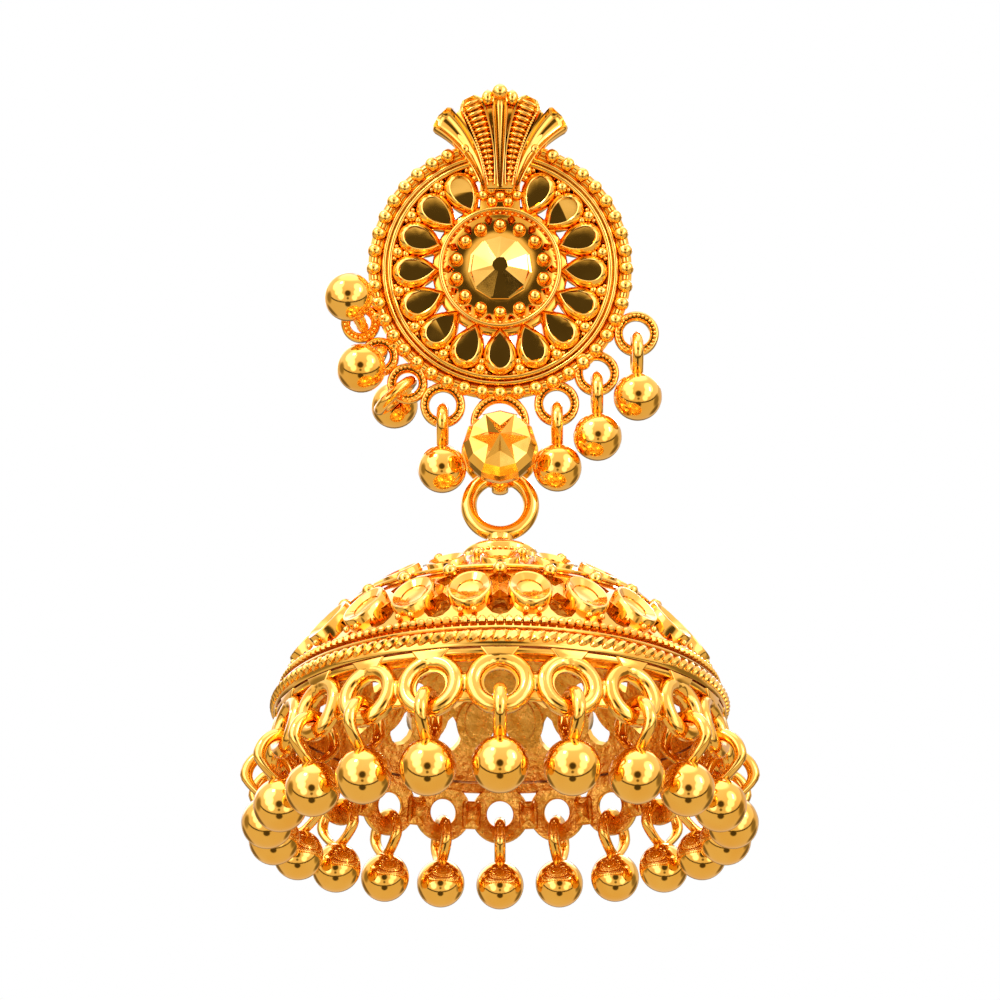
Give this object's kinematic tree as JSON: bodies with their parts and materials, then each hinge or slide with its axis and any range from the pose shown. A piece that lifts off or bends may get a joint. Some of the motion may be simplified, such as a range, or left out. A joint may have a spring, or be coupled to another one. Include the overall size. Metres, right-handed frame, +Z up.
{
  "type": "jhumka earring",
  "caption": "Hanging jhumka earring: openwork rosette on an ear post, a swinging link with a star-cut bead, and a domed bell fringed with small ball drops.",
  "frame": {"origin": "where the ear post leaves its back pad, against the lobe", "axes": "+Z up, the earring's front faces -Y, +X to the right as seen from the front; the rosette leans forward by 18 degrees and the post points back and up"},
  "size_m": [0.0316, 0.0318, 0.0506],
  "materials": {
    "rosette_gold": "polished cast gold with fine casting grain in the recesses",
    "facet_gold": "mirror-polished flat facets that look dark brown where they reflect the room",
    "centre_gold": "mirror-polished facets",
    "post_gold": "plain drawn wire, satin",
    "drop_gold": "bright polished hollow balls and round wire",
    "star_gold": "bright cut facets",
    "hanger_gold": "polished round wire and turned collar",
    "dome_gold": "polished outside, rough cast inside",
    "skirt_gold": "polished outside, rough cast inside"
  },
  "bodies": {
    "rosette": {"rosette_frame": "rosette_gold", "pear_facet_01": "facet_gold", "pear_facet_02": "facet_gold", "pear_facet_03": "facet_gold", "pear_facet_04": "facet_gold", "pear_facet_05": "facet_gold", "pear_facet_06": "facet_gold", "pear_facet_07": "facet_gold", "pear_facet_08": "facet_gold", "pear_facet_09": "facet_gold", "pear_facet_10": "facet_gold", "pear_facet_11": "facet_gold", "pear_facet_12": "facet_gold", "pear_facet_13": "facet_gold", "pear_facet_14": "facet_gold", "pear_facet_15": "facet_gold", "centre_facet": "centre_gold", "ear_post": "post_gold", "rosette_drop_01": "drop_gold", "rosette_drop_02": "drop_gold", "rosette_drop_03": "drop_gold", "rosette_drop_04": "drop_gold", "rosette_drop_05": "drop_gold", "rosette_drop_06": "drop_gold", "rosette_drop_07": "drop_gold"},
    "link": {"star_link": "star_gold"},
    "bell": {"bell_hanger": "hanger_gold", "bell_dome": "dome_gold", "bell_skirt": "skirt_gold", "bell_drop_01": "drop_gold", "bell_drop_02": "drop_gold", "bell_drop_03": "drop_gold", "bell_drop_04": "drop_gold", "bell_drop_05": "drop_gold", "bell_drop_06": "drop_gold", "bell_drop_07": "drop_gold", "bell_drop_08": "drop_gold", "bell_drop_09": "drop_gold", "bell_drop_10": "drop_gold", "bell_drop_11": "drop_gold", "bell_drop_12": "drop_gold", "bell_drop_13": "drop_gold", "bell_drop_14": "drop_gold", "bell_drop_15": "drop_gold", "bell_drop_16": "drop_gold", "bell_drop_17": "drop_gold", "bell_drop_18": "drop_gold", "bell_drop_19": "drop_gold", "bell_drop_20": "drop_gold", "bell_drop_21": "drop_gold", "bell_drop_22": "drop_gold"}
  },
  "joints": [
    {"name": "link_swing", "type": "hinge", "parent": "rosette", "child": "link", "pos_m": [0, 0.00278, -0.01178], "axis": [1, 0, 0], "range_deg": [-25, 25]},
    {"name": "bell_sway", "type": "hinge", "parent": "link", "child": "bell", "pos_m": [0, 0.0029, -0.01588], "axis": [0, 1, 0], "range_deg": [-30, 30]}
  ]
}
